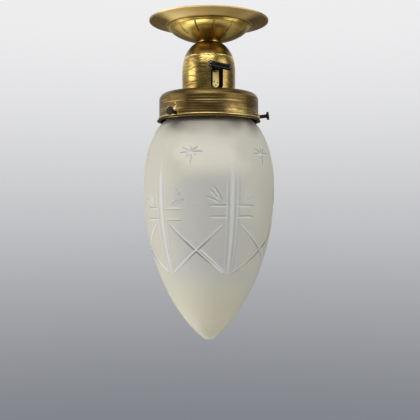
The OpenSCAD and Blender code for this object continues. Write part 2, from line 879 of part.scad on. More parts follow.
// T-shaped handle with round ends, on a collared hub that reaches in through the slot
module key_handle() {
    half = key_l / 2 - key_d / 2;
    color([0.06, 0.06, 0.06]) at_key() difference() {
        union() {
            translate([key_out, 0, 0]) rotate([-key_tilt, 0, 0]) {
                rotate([90, 0, 0])
                    cylinder(r = key_d / 2, h = 2 * half, center = true, $fn = 48);
                for (side = [-1, 1]) translate([0, side * half, 0]) sphere(r = key_d / 2, $fn = 48);
            }
            key_rod(hub_r, bright_out + free_gap, key_out);
            key_rod(key_collar_r, bright_out + free_gap, key_out - key_d / 2 - 0.8);
        }
        key_rod(shaft_r + 0.01, 0, key_out - key_d / 2 - 1.2);
    }
}

module switch_rotor() {
    color("white") at_key() difference() {
        key_rod(rotor_r, cavity_in + 0.5, cavity_in + 0.5 + rotor_l);
        key_rod(shaft_r + 0.01, 0, cavity_out + 1);
    }
}

// Thumb screws

module thumb_screw(turn) {
    tip = (screw_tip_r - gallery_r) / cos(screw_tip_up);
    out = head_out - gallery_r;
    color([0.1, 0.1, 0.1]) at_screw(turn) rotate([0, 90, 0]) rotate_extrude($fn = 40)
        polygon([
            [0, tip], [shank_r - 0.4, tip], [shank_r, tip + 0.6],
            [shank_r, out - head_t - 0.8], [shank_r + 0.6, out - head_t],
            [head_r - 0.4, out - head_t], [head_r, out - head_t + 0.4],
            [head_r, out - 0.4], [head_r - 0.4, out], [0, out]
        ]);
}

module thumb_screw_right() {
    thumb_screw(SCREW_TURNS[0]);
}

module thumb_screw_rear() {
    thumb_screw(SCREW_TURNS[1]);
}

module thumb_screw_left() {
    thumb_screw(SCREW_TURNS[2]);
}

ceiling_bracket();
canopy();
nipple();
bracket_nuts();
terminal_block();
terminal_screws();
block_screw();
lead_live();
lead_neutral();
neck_collar();
bell_cover();
socket_cap();
socket_shell();
fibre_liner();
switch_body();
contact_springs();
holder_terminals();
key_bracket();
bracket_rivets();
centre_contact();
screw_shell();
insulating_ring();
gallery();
screw_bosses();
shade_ring();
glass_shade();
bulb_cap();
bulb_insulator();
bulb_contact();
bulb_glass();
bulb_stem();
bulb_filament();
key_shaft();
key_handle();
switch_rotor();
thumb_screw_right();
thumb_screw_rear();
thumb_screw_left();
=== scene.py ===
"""Looks of the ceiling lamp: turned brass, a frosted and wheel-cut glass shade, and the small
pieces in and on the lampholder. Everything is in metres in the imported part's own frame: the
ceiling is z = 0, the lamp hangs down along -z, and the front is -y."""

import json
import math

import bmesh
import bpy
import numpy as np
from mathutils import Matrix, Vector


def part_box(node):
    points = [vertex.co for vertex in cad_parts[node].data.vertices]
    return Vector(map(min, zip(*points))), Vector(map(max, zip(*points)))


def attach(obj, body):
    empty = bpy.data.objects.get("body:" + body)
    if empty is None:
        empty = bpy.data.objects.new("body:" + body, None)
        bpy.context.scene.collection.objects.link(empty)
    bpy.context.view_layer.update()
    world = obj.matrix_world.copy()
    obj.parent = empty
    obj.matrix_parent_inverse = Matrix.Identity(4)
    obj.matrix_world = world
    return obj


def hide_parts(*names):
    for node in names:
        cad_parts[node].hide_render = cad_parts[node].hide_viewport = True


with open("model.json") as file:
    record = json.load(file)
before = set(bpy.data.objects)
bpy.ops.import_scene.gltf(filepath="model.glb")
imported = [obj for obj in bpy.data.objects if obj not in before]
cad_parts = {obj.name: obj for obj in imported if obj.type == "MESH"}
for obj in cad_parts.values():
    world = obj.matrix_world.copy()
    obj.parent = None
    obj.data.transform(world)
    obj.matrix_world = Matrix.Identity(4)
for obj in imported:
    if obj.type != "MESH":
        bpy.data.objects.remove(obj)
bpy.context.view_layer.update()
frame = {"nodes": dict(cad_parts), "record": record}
nodes = frame["nodes"]

MM = 0.001
# Degrees between two faces from which their edge is drawn sharp
SHARP_DEG = 32


def box_mm(node):
    """The lower and the upper corner of a node, in millimetres"""
    low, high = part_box(node)
    return np.array(low) / MM, np.array(high) / MM


# Radii and heights in millimetres, taken from the frame
canopy_r = box_mm("canopy")[1][0]
bell_low, bell_high = box_mm("bell_cover")
gallery_low, gallery_high = box_mm("gallery")
glass_low, glass_high = box_mm("glass_shade")
bell_r, bell_low_z, bell_top_z = bell_high[0], bell_low[2], bell_high[2]
lip_r, gallery_low_z = gallery_high[0], gallery_low[2]
glass_r, glass_low_z, mouth_top_z = glass_high[0], glass_low[2], glass_high[2]

# Values that the part's source gives to the same outlines, in millimetres and degrees
seat_fit = 0.05
free_gap = 0.3
brass_wall = 0.8
lip_h = 1.2
step_r = 37.2
step_h = 1.2
cove_drop = 3.8
dome_r = 36.0
dome_drop = 13.1
dome_curve = 1.5
canopy_flat_r = 9.6
line_count = 13
line_turn = 8.0
line_depth = 0.35
nipple_r = 5.0
bell_curve = 33.5
bell_round = 2.8
bell_top_r = 11.2
key_turn = 18.0
slot_w = 11.4
slot_h = 22.3
slot_rise = 2.2
slot_corner_r = 2.5
holder_r = 19.6
gallery_r = 44.3
shoulder_r = 6.5
bead_r = 0.9
bead_rise = 1.7
screw_tip_up = 6.0
screw_rise = 3.7
shank_r = 1.6
boss_r = 2.4
glass_wall = 2.8
upper_h = 58.0
lower_h = 139.0
glass_low_round, glass_low_power = 2.1, 0.775
glass_up_round, glass_up_power = 2.1, 0.72
tip_start = 0.978
neck_gap = 5.1
mouth_out = 2.0

# The engraved lines are a little wider here than in the solid, so that they read from afar
line_w = 1.1
# The right, the left and the rear thumb screw, in degrees right of the front
screw_turns = [82, 322, 202]


def round_tip(wide, drop):
    """The radius and the middle of the glass's round tip, down from the widest place, and the
    angle over which it turns"""
    left = 1 - tip_start**glass_low_round
    bend = tip_start ** (glass_low_round - 1) * left ** (glass_low_power - 1)
    slope = wide / drop * glass_low_round * glass_low_power * bend
    join_r = wide * left**glass_low_power
    return join_r * math.hypot(1, slope), join_r * slope - drop * tip_start, math.atan(1 / slope)


tip_radius, tip_middle, _ = round_tip(glass_r, lower_h)
glass_wide_z = glass_low_z + tip_radius - tip_middle
glass_neck_z = glass_wide_z + upper_h
neck_r = gallery_r - brass_wall - neck_gap
mouth_r = neck_r + mouth_out
dome_z = -(lip_h + cove_drop + step_h)
bead_z = gallery_low_z + bead_rise + bead_r
screw_z = gallery_low_z + screw_rise


def smooth(x, low, high):
    """0 below low, 1 above high, with a smooth change between them"""
    t = np.clip((x - low) / (high - low), 0, 1)
    return t * t * (3 - 2 * t)


def even_turns(count):
    """Angles all the way round, in degrees"""
    return np.linspace(0, 360, count + 1)[:-1]


def turned_from(centre, turn):
    """Degrees from centre to turn, the short way round"""
    return (turn - centre + 180) % 360 - 180


def link(obj):
    """Puts an object into the scene"""
    bpy.context.scene.collection.objects.link(obj)
    return obj


def make_mesh(name, points_mm, quads, sharp_deg):
    """An object from an array of points in millimetres and an array of quads, facing out"""
    a, b, c, d = (points_mm[quads[:, k]] for k in range(4))
    if np.einsum("ij,ij->", a, np.cross(b - a, c - a) + np.cross(c - a, d - a)) < 0:
        quads = quads[:, ::-1]
    mesh = bpy.data.meshes.new(name)
    mesh.vertices.add(len(points_mm))
    mesh.vertices.foreach_set("co", (points_mm * MM).astype(np.float32).ravel())
    mesh.loops.add(quads.size)
    mesh.loops.foreach_set("vertex_index", quads.astype(np.int32).ravel())
    mesh.polygons.add(len(quads))
    mesh.polygons.foreach_set("loop_start", np.arange(0, quads.size, 4, dtype=np.int32))
    mesh.update(calc_edges=True)
    mesh.validate()
    mesh.shade_smooth()
    mesh.set_sharp_from_angle(angle=math.radians(sharp_deg))
    return link(bpy.data.objects.new(name, mesh))


def lathe(name, profile, turns_deg, displace, sharp_deg=SHARP_DEG):
    """A turned shell from a closed line of (radius, height) in millimetres, with points at each
    angle right of the front. displace(turn, radius, height) gives how far a point moves to the
    right of the line's way, which is outwards where the line runs up."""
    profile = np.array(profile, float)
    turn = np.radians(np.array(turns_deg, float))
    count, rows = len(turn), len(profile)
    angle = np.repeat(turn[:, None], rows, axis=1)
    radius = np.repeat(profile[None, :, 0], count, axis=0)
    height = np.repeat(profile[None, :, 1], count, axis=0)
    along = np.roll(profile, -1, axis=0) - np.roll(profile, 1, axis=0)
    along /= np.maximum(np.linalg.norm(along, axis=1, keepdims=True), 1e-9)
    shift = displace(np.degrees(angle), radius, height)
    radius = radius + shift * along[None, :, 1]
    height = height - shift * along[None, :, 0]
    points = np.stack([radius * np.sin(angle), -radius * np.cos(angle), height], axis=-1)
    i = np.arange(count)[:, None]
    j = np.arange(rows)[None, :]
    i2, j2 = (i + 1) % count, (j + 1) % rows
    quads = np.stack([i * rows + j, i2 * rows + j, i2 * rows + j2, i * rows + j2], axis=-1)
    return make_mesh(name, points.reshape(-1, 3), quads.reshape(-1, 4), sharp_deg)


def arc(centre_r, centre_z, r, start, end, steps):
    """Points on an arc, with angles in degrees from outwards towards up"""
    angles = np.radians(np.linspace(start, end, steps + 1))
    return [(centre_r + r * math.cos(a), centre_z + r * math.sin(a)) for a in angles]


def offset(profile, wall):
    """The profile moved sideways by a wall's thickness"""
    p = np.array(profile, float)
    along = np.gradient(p, axis=0)
    along /= np.maximum(np.linalg.norm(along, axis=1, keepdims=True), 1e-9)
    return [tuple(q) for q in p + wall * np.stack([along[:, 1], -along[:, 0]], axis=1)]


# Shader nodes


class Tree:
    """A short way to write the nodes of a tree"""

    def __init__(self, tree):
        self.tree = tree

    def add(self, kind, inputs=None, **settings):
        node = self.tree.nodes.new(kind)
        for key, value in settings.items():
            setattr(node, key, value)
        for key, value in (inputs or {}).items():
            self.put(node.inputs[key], value)
        return node

    def put(self, socket, value):
        if isinstance(value, bpy.types.NodeSocket):
            self.tree.links.new(value, socket)
        else:
            socket.default_value = value

    def noise(self, vector, scale, detail=3.0, roughness=0.55, distortion=0.0):
        node = self.add(
            "ShaderNodeTexNoise",
            {
                "Vector": vector,
                "Scale": scale,
                "Detail": detail,
                "Roughness": roughness,
                "Distortion": distortion,
            },
        )
        return node.outputs["Fac"]

    def math(self, operation, a, b=0.0, c=0.0, clamp=False):
        node = self.add("ShaderNodeMath", {0: a, 1: b, 2: c}, operation=operation)
        node.use_clamp = clamp
        return node.outputs[0]

    def range(self, value, low, high, to_low=0.0, to_high=1.0):
        node = self.add(
            "ShaderNodeMapRange",
            {
                "Value": value,
                "From Min": low,
                "From Max": high,
                "To Min": to_low,
                "To Max": to_high,
            },
            interpolation_type="SMOOTHSTEP",
        )
        return node.outputs["Result"]

    def mix(self, factor, a, b):
        node = self.add("ShaderNodeMix", data_type="RGBA")
        self.put(node.inputs["Factor"], factor)
        for key, value in (("A", a), ("B", b)):
            socket = [s for s in node.inputs if s.name == key and s.type == "RGBA"][0]
            self.put(socket, value if isinstance(value, bpy.types.NodeSocket) else (*value, 1))
        return [s for s in node.outputs if s.type == "RGBA"][0]

    def attribute(self, name):
        return self.add("ShaderNodeAttribute", attribute_name=name).outputs["Fac"]

    def bump(self, height, distance_mm, strength=1.0, normal=None):
        node = self.add(
            "ShaderNodeBump", {"Height": height, "Distance": distance_mm * MM, "Strength": strength}
        )
        if normal is not None:
            self.put(node.inputs["Normal"], normal)
        return node.outputs["Normal"]

    def split(self, vector):
        return self.add("ShaderNodeSeparateXYZ", {0: vector}).outputs

    def join(self, x, y, z=0.0):
        return self.add("ShaderNodeCombineXYZ", {0: x, 1: y, 2: z}).outputs[0]

    def length(self, vector):
        node = self.add("ShaderNodeVectorMath", {0: vector}, operation="LENGTH")
        return node.outputs["Value"]


class Nodes(Tree):
    """The nodes of a new material"""

    def __init__(self, name):
        self.material = bpy.data.materials.new(name)
        self.material.use_nodes = True
        super().__init__(self.material.node_tree)
        self.shader = self.tree.nodes["Principled BSDF"]

    def set(self, **values):
        for key, value in values.items():
            self.put(self.shader.inputs[key.replace("_", " ")], value)

    def position(self):
        """Place in the lamp, in millimetres"""
        where = self.add("ShaderNodeTexCoord").outputs["Object"]
        node = self.add(
            "ShaderNodeVectorMath", {0: where, 1: (1 / MM,) * 3}, operation="MULTIPLY"
        )
        return node.outputs[0]


# Colours of the brass: its body, its marks, which also paint shade, highlights and shadow, and the
# tint where one looks along it
GOLD = (0.74, 0.55, 0.17)
PALE_GOLD = (0.90, 0.73, 0.34)
DEEP_GOLD = (0.56, 0.375, 0.085)
BROWN = (0.115, 0.068, 0.022)
SOOT_AND_SHADOW = (0.018, 0.015, 0.013)
CLEAN_RIM = (0.74, 0.68, 0.59)
GREY_RIM = (0.96, 0.95, 0.94)

# Tints of the glass: its body, its places from the neck down to the tip, among them painted shade,
# shadow and highlight, and its cuts with their painted dark and bright sides
FROST, FROST_CLOUD = (0.755, 0.735, 0.62), (0.765, 0.75, 0.655)
NECK_SHADE = (0.45, 0.41, 0.335)
SHADOW_BROWN = (0.20, 0.18, 0.145)
PAINTED_HIGHLIGHT = (0.93, 0.905, 0.80)
GREY_MIDDLE = (0.69, 0.685, 0.65)
WARM_END = (0.74, 0.71, 0.55)
TIP_END = (0.60, 0.58, 0.44)
CUT = (0.82, 0.825, 0.82)
CUT_DARK = (0.15, 0.155, 0.16)
CUT_BRIGHT = (0.99, 0.99, 0.98)


def turned_brass(
    name, flat, light, patina, rings_mm, smoothness=0.0, scratches=0.0, rim=GREY_RIM
):
    """Old spun brass. flat says that the turning marks run round on a flat dish instead of on
    an upright wall, light and patina how much pale and brown colour there is, rings_mm how
    deep the marks are, and scratches how strong the leaning ones are. rim is the colour where
    one looks along the metal. The attributes read below hold a piece's brown marks and painted
    shade, its painted highlights and bright scratches, its black scratches and painted shadow,
    and its duller places."""
    n = Nodes(name)
    place = n.position()
    x, y, z = n.split(place)
    drawn = (n.math("MULTIPLY", value, 0.06) for value in (x, y))
    soft = n.join(*drawn, n.length(n.join(x, y)) if flat else z)
    streaks = n.noise(soft, 0.9, 5.0, 0.65)
    fine = n.noise(soft, 4.5, 3.0, 0.6)
    blotches = n.noise(place, 0.055, 4.0, 0.6, 0.4)
    specks = n.noise(place, 0.9, 3.0, 0.7)
    colour = n.mix(n.range(streaks, 0.35, 0.68), DEEP_GOLD, GOLD)
    colour = n.mix(n.math("MULTIPLY", n.range(fine, 0.5, 0.72), light), colour, PALE_GOLD)
    stain = n.math("ADD", n.math("MULTIPLY", blotches, 0.55), n.math("MULTIPLY", streaks, 0.45))
    stain = n.math("MULTIPLY", n.range(stain, 0.40, 0.60), patina, clamp=True)
    colour = n.mix(stain, colour, BROWN)
    spots = n.math("MULTIPLY", n.range(specks, 0.60, 0.74), 0.4 * patina)
    colour = n.mix(spots, colour, BROWN)
    if scratches:
        for lean, where in ((0.30, 0.0), (-0.45, 40.0)):
            drawn = (n.math("MULTIPLY", value, 0.09) for value in (x, y))
            up = n.math("ADD", n.math("MULTIPLY", x, lean), z)
            bent = n.join(*drawn, n.math("ADD", up, where))
            lines = n.range(n.noise(bent, 1.15, 2.0, 0.45), 0.60, 0.72)
            colour = n.mix(n.math("MULTIPLY", lines, scratches), colour, BROWN)
    # The marks also paint shade, the pale places paint highlights, and the black places paint
    # shadow
    mark, shine, soot = n.attribute("mark"), n.attribute("shine"), n.attribute("soot")
    colour = n.mix(n.math("MULTIPLY", mark, 0.9), colour, BROWN)
    colour = n.mix(n.math("MULTIPLY", shine, 0.9), colour, PALE_GOLD)
    colour = n.mix(soot, colour, SOOT_AND_SHADOW)
    rough = n.range(
        n.math("ADD", stain, n.math("MULTIPLY", streaks, 0.5)), 0.2, 1.3, 0.25 - smoothness, 0.44
    )
    rough = n.math("MAXIMUM", rough, n.math("MULTIPLY", mark, 0.46))
    rough = n.math("MAXIMUM", rough, n.math("MULTIPLY", soot, 0.6))
    rough = n.math("MAXIMUM", rough, n.attribute("satin"))
    height = n.math("ADD", fine, n.math("MULTIPLY", streaks, 1.2))
    height = n.math("SUBTRACT", height, n.math("MULTIPLY", mark, 0.8))
    normal = n.bump(height, rings_mm, 0.6)
    normal = n.bump(n.noise(place, 0.35, 2.0), 0.25, 0.16, normal)
    n.set(Base_Color=colour, Roughness=rough, Normal=normal)
    n.shader.inputs["Metallic"].default_value = 1.0
    n.shader.inputs["Specular Tint"].default_value = (*rim, 1)
    return n.material


def plain_metal(name, colour, patches, rough, grain_mm=0.02):
    """A metal with worn spots and a fine grain"""
    n = Nodes(name)
    place = n.position()
    spots = n.noise(place, 0.25, 3.0, 0.55)
    fine = n.noise(place, 1.6, 2.0)
    n.set(
        Base_Color=n.mix(n.range(spots, 0.45, 0.7), colour, patches),
        Roughness=n.range(spots, 0.3, 0.7, rough, rough + 0.14),
        Normal=n.bump(fine, grain_mm, 0.4),
    )
    n.shader.inputs["Metallic"].default_value = 1.0
    return n.material


def soft_solid(name, colour, patches, rough, coat=0.0, transmission=0.0, specular=0.5):
    """Enamel, porcelain, fibre, plastic or clear glass, with worn spots"""
    n = Nodes(name)
    place = n.position()
    spots = n.noise(place, 0.3, 3.0, 0.6)
    fine = n.noise(place, 2.0, 2.0)
    n.set(
        Base_Color=n.mix(n.range(spots, 0.4, 0.7), colour, patches),
        Roughness=n.range(spots, 0.3, 0.7, rough, rough + 0.12),
        Normal=n.bump(fine, 0.01, 0.4),
    )
    n.shader.inputs["Coat Weight"].default_value = coat
    n.shader.inputs["Transmission Weight"].default_value = transmission
    n.shader.inputs["Specular IOR Level"].default_value = specular
    return n.material


def frosted_glass():
    """Ground glass whose wheel cuts are clearer, with painted shade under the gallery. The
    attributes cut, edge and core hold the depth and the painted dark and bright sides of the
    cuts, and a fourth holds painted brown shadows under the neck."""
    n = Nodes("frosted_glass")
    place = n.position()
    x, _, z = n.split(place)

    def band(from_middle, outer, inner, low, full_low, full_high, high):
        """1 in the middle of the front between two heights, fading outwards, down and up"""
        found = n.math("MULTIPLY", n.range(from_middle, outer, inner), n.range(z, high, full_high))
        return n.math("MULTIPLY", found, n.range(z, low, full_low))

    cut = n.attribute("cut")
    cloud = n.noise(place, 0.02, 2.0)
    grain = n.noise(place, 1.6, 3.0, 0.7)
    tint = n.mix(n.range(cloud, 0.35, 0.65), FROST, FROST_CLOUD)
    wander = n.math("MULTIPLY", n.math("SUBTRACT", n.noise(place, 0.05, 3.0), 0.5), 40.0)
    from_middle = n.math("ADD", n.math("ABSOLUTE", x), wander)
    # Painted shade: a greyer band down the middle of the front and the back
    grey = band(from_middle, 40.0, 16.0, -240.0, -214.0, -150.0, -132.0)
    tint = n.mix(grey, tint, GREY_MIDDLE)
    # A painted highlight high on the middle of the front and the back
    lit_band = band(from_middle, 36.0, 12.0, -146.0, -128.0, -120.0, -102.0)
    tint = n.mix(lit_band, tint, PAINTED_HIGHLIGHT)
    high = n.math("MULTIPLY", n.noise(place, 0.04, 2.0), 26.0)
    shade = n.range(n.math("SUBTRACT", z, high), glass_neck_z - 34.0, glass_neck_z - 12.0)
    tint = n.mix(shade, tint, NECK_SHADE)
    # Painted brown shadows under the neck
    tint = n.mix(n.attribute("smoke"), tint, SHADOW_BROWN)
    warm = n.math("MULTIPLY", n.range(z, glass_low_z + 55.0, glass_low_z + 25.0), 0.8)
    tint = n.mix(warm, tint, WARM_END)
    tip = n.math("MULTIPLY", n.range(z, glass_low_z + 22.0, glass_low_z + 2.0), 0.8)
    tint = n.mix(tip, tint, TIP_END)
    tint = n.mix(n.math("MULTIPLY", cut, 0.6), tint, CUT)
    # Painted shade on one side of each cut, and a painted highlight on its bright side and core
    tint = n.mix(n.math("MULTIPLY", n.attribute("edge"), 0.9), tint, CUT_DARK)
    tint = n.mix(n.attribute("core"), tint, CUT_BRIGHT)
    rough = n.math("SUBTRACT", 0.60, n.math("MULTIPLY", cut, 0.26))
    n.set(Base_Color=tint, Roughness=rough, Normal=n.bump(grain, 0.03, 0.2))
    n.shader.inputs["Transmission Weight"].default_value = 0.45
    n.shader.inputs["IOR"].default_value = 1.48
    return n.material


def paint(obj, material):
    """Gives the whole piece one material"""
    obj.data.materials.clear()
    obj.data.materials.append(material)


# Camera, backdrop and light. The lens is given by its focal length and the picture's width,
# both in pixels.

SENSOR_MM, FOCAL_PX, WIDTH_PX = 36, 746, 420
camera = link(bpy.data.objects.new("camera", bpy.data.cameras.new("camera")))
camera.location = (0.0011, -0.670, -0.16965)
camera.rotation_euler = (math.radians(90), 0, 0)
camera.data.sensor_width = SENSOR_MM
camera.data.lens = SENSOR_MM * FOCAL_PX / WIDTH_PX
camera.data.clip_start = 0.01
bpy.context.scene.camera = camera
bpy.context.scene.view_settings.view_transform = "Standard"


def studio_world():
    """A backdrop that goes from near white above to light grey below, with a darker room in
    front of the lamp and to its right"""
    world = bpy.data.worlds.new("studio")
    bpy.context.scene.world = world
    world.use_nodes = True
    world.node_tree.nodes.clear()
    sky = Tree(world.node_tree)
    x, y, z = sky.split(sky.add("ShaderNodeTexCoord").outputs["Generated"])
    colour = sky.mix(sky.range(z, -0.34, 0.30), (0.20, 0.21, 0.235), (0.86, 0.86, 0.87))
    ground = sky.mix(sky.range(x, 0.4, -0.1), (0.20, 0.19, 0.18), (1.0, 0.98, 0.93))
    colour = sky.mix(sky.range(z, -0.42, -0.54), colour, ground)
    colour = sky.mix(sky.range(y, 0.55, 0.05), colour, (0.34, 0.34, 0.35))
    colour = sky.mix(sky.range(y, 0.1, -0.6), colour, (0.07, 0.07, 0.07))
    colour = sky.mix(sky.range(x, 0.5, 0.95), colour, (0.13, 0.13, 0.13))
    back = sky.add("ShaderNodeBackground", {"Color": colour})
    sky.add("ShaderNodeOutputWorld", {"Surface": back.outputs[0]})


studio_world()


def area_light(name, place, target, size, power, colour=(1, 1, 1)):
    """A soft rectangular light at place, turned to target"""
    data = bpy.data.lights.new(name, "AREA")
    data.shape = "RECTANGLE"
    data.size, data.size_y = size
    data.energy = power
    data.color = colour
    light = link(bpy.data.objects.new(name, data))
    light.location = place
    aim = Vector(target) - Vector(place)
    light.rotation_euler = aim.to_track_quat("-Z", "Y").to_euler()


middle = (0, 0, -0.13)
area_light("left", (-0.98, -0.22, -0.05), middle, (0.6, 1.0), 4.9, (1.0, 0.985, 0.96))
area_light(
    "below", (-0.30, -0.24, -0.74), (-0.04, -0.05, -0.1), (0.75, 0.4), 3.2, (1.0, 0.99, 0.97)
)
area_light("below_back", (-0.13, 0.30, -0.73), (-0.01, -0.02, -0.05), (0.8, 0.3), 1.3)
area_light("high_front", (-0.12, -0.70, 0.76), middle, (1.0, 0.6), 10.4)
area_light("right", (0.88, -0.42, -0.03), middle, (0.7, 0.9), 4.9)

# The floor is a disc that fades out towards its edge
FLOOR_R, FLOOR_Z = 1.25, -0.78
floor_mesh = bpy.data.meshes.new("floor")
floor_build = bmesh.new()
bmesh.ops.create_circle(floor_build, cap_ends=True, radius=FLOOR_R, segments=96)
floor_build.to_mesh(floor_mesh)
floor_build.free()
floor = link(bpy.data.objects.new("floor", floor_mesh))
floor.location = (0, 0, FLOOR_Z)
floor_nodes = Nodes("pale_floor")
floor_place = floor_nodes.add("ShaderNodeTexCoord").outputs["Object"]
floor_grain = floor_nodes.noise(floor_place, 40.0, 2.0)
floor_nodes.set(
    Base_Color=floor_nodes.mix(floor_grain, (0.62, 0.62, 0.62), (0.66, 0.66, 0.66)),
    Roughness=0.9,
    Alpha=floor_nodes.range(floor_nodes.length(floor_place), 1.2, 0.6),
)
paint(floor, floor_nodes.material)

# Canopy

lines_mid_r = 27.0
line_centres = [line_turn + i * 360 / line_count for i in range(line_count)]


def with_lines(turns):
    """Adds angles close to each line's middle, so that a thin line has its own points"""
    half_deg = math.degrees(line_w / 2 / lines_mid_r)
    extra = []
    for centre in line_centres:
        for side in (-1.6, -1.0, -0.55, -0.2, 0, 0.2, 0.55, 1.0, 1.6):
            extra.append((centre + side * half_deg) % 360)
    return np.unique(np.round(np.concatenate([turns, extra]), 4))


dome_end = (1 - (canopy_flat_r / dome_r) ** 2) ** (1 / dome_curve)
dome_line = [
    (dome_r * math.sqrt(1 - (dome_end * t) ** dome_curve), dome_z - dome_drop * dome_end * t)
    for t in np.linspace(0, 1, 61)
]
dome_low_z = dome_line[-1][1]
cove_line = [
    (
        canopy_r - brass_wall - (canopy_r - brass_wall - step_r) * s,
        -lip_h - cove_drop * s * s,
    )
    for s in np.linspace(0, 1, 33)
]
canopy_outside = (
    [(canopy_r, 0), (canopy_r, -0.35)]
    + arc(canopy_r - 0.45, -lip_h + 0.45, 0.45, 0, -90, 6)
    + cove_line
    + [(step_r, dome_z + 0.5)]
    + arc(step_r - 0.35, dome_z + 0.35, 0.35, 0, -90, 5)
    + dome_line
    + [(canopy_flat_r - 0.6, dome_low_z), (nipple_r + seat_fit, dome_low_z)]
)
canopy_inside = (
    [(nipple_r + seat_fit, dome_low_z + brass_wall)]
    + offset(dome_line, brass_wall)[::-1]
    + [(r, z + brass_wall) for r, z in cove_line[::-1] if r < canopy_r - 2 * brass_wall]
    + [(canopy_r - brass_wall, 0)]
)


def lines_span(height):
    """1 over the part of the dome's height that the engraved lines take up"""
    return smooth(height, dome_z - 9.2, dome_z - 8.2) * smooth(height, dome_z - 0.4, dome_z - 1.0)


def engraving(turn, radius, height):
    """Depth of the engraved lines on the dome's outside"""
    depth = np.zeros_like(radius)
    span = lines_span(height)
    for centre in line_centres:
        across = np.abs(np.radians(turned_from(centre, turn))) * radius / (line_w / 2)
        depth = np.maximum(depth, line_depth * np.clip(1 - across, 0, 1) ** 0.7 * span)
    rows = np.arange(radius.shape[1]) < len(canopy_outside)
    return depth * rows[None, :]


canopy = lathe(
    "brass_canopy", canopy_outside + canopy_inside, with_lines(even_turns(360)), engraving
)


def add_attributes(obj, **maps):
    """Stores a value for each point, for the piece's material to read"""
    for name, values in maps.items():
        layer = obj.data.attributes.new(name, "FLOAT", "POINT")
        layer.data.foreach_set("value", np.ascontiguousarray(values, dtype=np.float32))


def measure(obj):
    """The place of each point, its angle right of the front from -180 to 180 degrees, its
    height and its distance from the lamp's axis"""
    co = np.zeros(len(obj.data.vertices) * 3, np.float32)
    obj.data.vertices.foreach_get("co", co)
    points = co.reshape(-1, 3).astype(float) / MM
    turn = np.degrees(np.arctan2(points[:, 0], -points[:, 1]))
    return points, turn, points[:, 2], np.maximum(np.hypot(points[:, 0], points[:, 1]), 1)


def stroke(turn, height, radius, start, end, width, bend=0.0):
    """1 on a stroke between two places (angle, height), fading over width millimetres"""
    u = np.radians(turn) * radius
    u0, u1 = math.radians(start[0]) * radius, math.radians(end[0]) * radius
    du, dz = u1 - u0, end[1] - start[1]
    length = du * du + dz * dz
    t = np.clip(((u - u0) * du + (height - start[1]) * dz) / length, 0, 1)
    lift = bend * 4 * t * (1 - t)
    off = np.hypot(u - u0 - t * du, height - start[1] - t * dz - lift)
    return np.clip(1 - off / width, 0, 1) * (0.35 + 0.65 * np.sin(np.pi * np.clip(t, 0.02, 0.98)))


_, turn, height, radius_now = measure(canopy)
from_front = np.abs(turn)
on_cove = smooth(radius_now, step_r + 0.5, step_r + 2)
mark = np.zeros(len(turn))
for centre in line_centres:
    across = np.abs(np.radians(turned_from(centre, turn))) * radius_now
    # The lines right of the front are drawn fainter
    line_strength = 0.45 if 15 < centre < 120 else 1.0
    line = np.clip(1.6 - across / (line_w * 0.5), 0, 1) * lines_span(height)
    mark = np.maximum(mark, line_strength * line)
ring_gap = np.hypot(radius_now - (step_r + 0.1), height - (dome_z + step_h))
mark = np.maximum(mark, np.clip(1.1 - ring_gap / 0.8, 0, 1))
# Painted shade: the cove is drawn brown towards its far left and right
shaded_ends = smooth(turn, 46, 66) * smooth(turn, 150, 115)
shaded_ends += smooth(turn, -52, -70) * smooth(turn, -150, -115)
mark = np.maximum(mark, 0.97 * shaded_ends * on_cove)
# Painted shade: the dome's sides are drawn brown
dome_side = smooth(from_front, 52, 75) * smooth(from_front, 135, 110)
dome_side *= smooth(height, dome_z - 2.5, dome_z - 7)
mark = np.maximum(mark, 0.85 * dome_side)
# Painted highlight: the front of the cove is drawn paler and given a duller finish; just right of
# the front it gets painted shade instead
front_sheen = smooth(from_front, 68, 45) * on_cove
dull_side = smooth(turn, 6, 34) * front_sheen
mark = np.maximum(mark, 0.42 * dull_side)
# A painted highlight along the rim's edge
shine = np.clip(1 - np.hypot(radius_now - canopy_r, height + lip_h) / 0.9, 0, 1)
shine = np.maximum(shine, 0.95 * front_sheen - 0.55 * dull_side)
add_attributes(canopy, mark=mark, shine=shine, satin=0.54 * front_sheen)
paint(canopy, turned_brass("canopy_brass", True, 0.3, 0.25, 0.012, -0.05, rim=CLEAN_RIM))
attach(canopy, "lamp")
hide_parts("canopy")

# Bell cover


def cut_away(obj, cutters):
    """Cuts the cutters' shapes out of a piece"""
    for cutter in cutters:
        tool = obj.modifiers.new("cut", "BOOLEAN")
        tool.operation, tool.solver, tool.object = "DIFFERENCE", "EXACT", cutter
    bpy.context.view_layer.update()
    seen = obj.evaluated_get(bpy.context.evaluated_depsgraph_get())
    mesh = bpy.data.meshes.new_from_object(seen)
    obj.modifiers.clear()
    obj.data = mesh
    mesh.shade_smooth()
    mesh.set_sharp_from_angle(angle=math.radians(SHARP_DEG))
    for cutter in cutters:
        bpy.data.objects.remove(cutter)


def prism(name, outline, start, end, origin, out, side, up):
    """A straight prism of an outline (side, up), from start to end along out, in millimetres"""
    rows = [[origin + out * d + side * u + up * v for u, v in outline] for d in (start, end)]
    build = bmesh.new()
    rings = [[build.verts.new(Vector(p) * MM) for p in row] for row in rows]
    for ring in rings:
        build.faces.new(ring)
    for k in range(len(outline)):
        k2 = (k + 1) % len(outline)
        build.faces.new((rings[0][k], rings[0][k2], rings[1][k2], rings[1][k]))
    bmesh.ops.recalc_face_normals(build, faces=build.faces)
    mesh = bpy.data.meshes.new(name)
    build.to_mesh(mesh)
    build.free()
    return link(bpy.data.objects.new(name, mesh))


bell_end = (1 - (bell_top_r / bell_r) ** 2) ** (1 / bell_round)
bell_straight_z = bell_top_z - bell_curve * bell_end
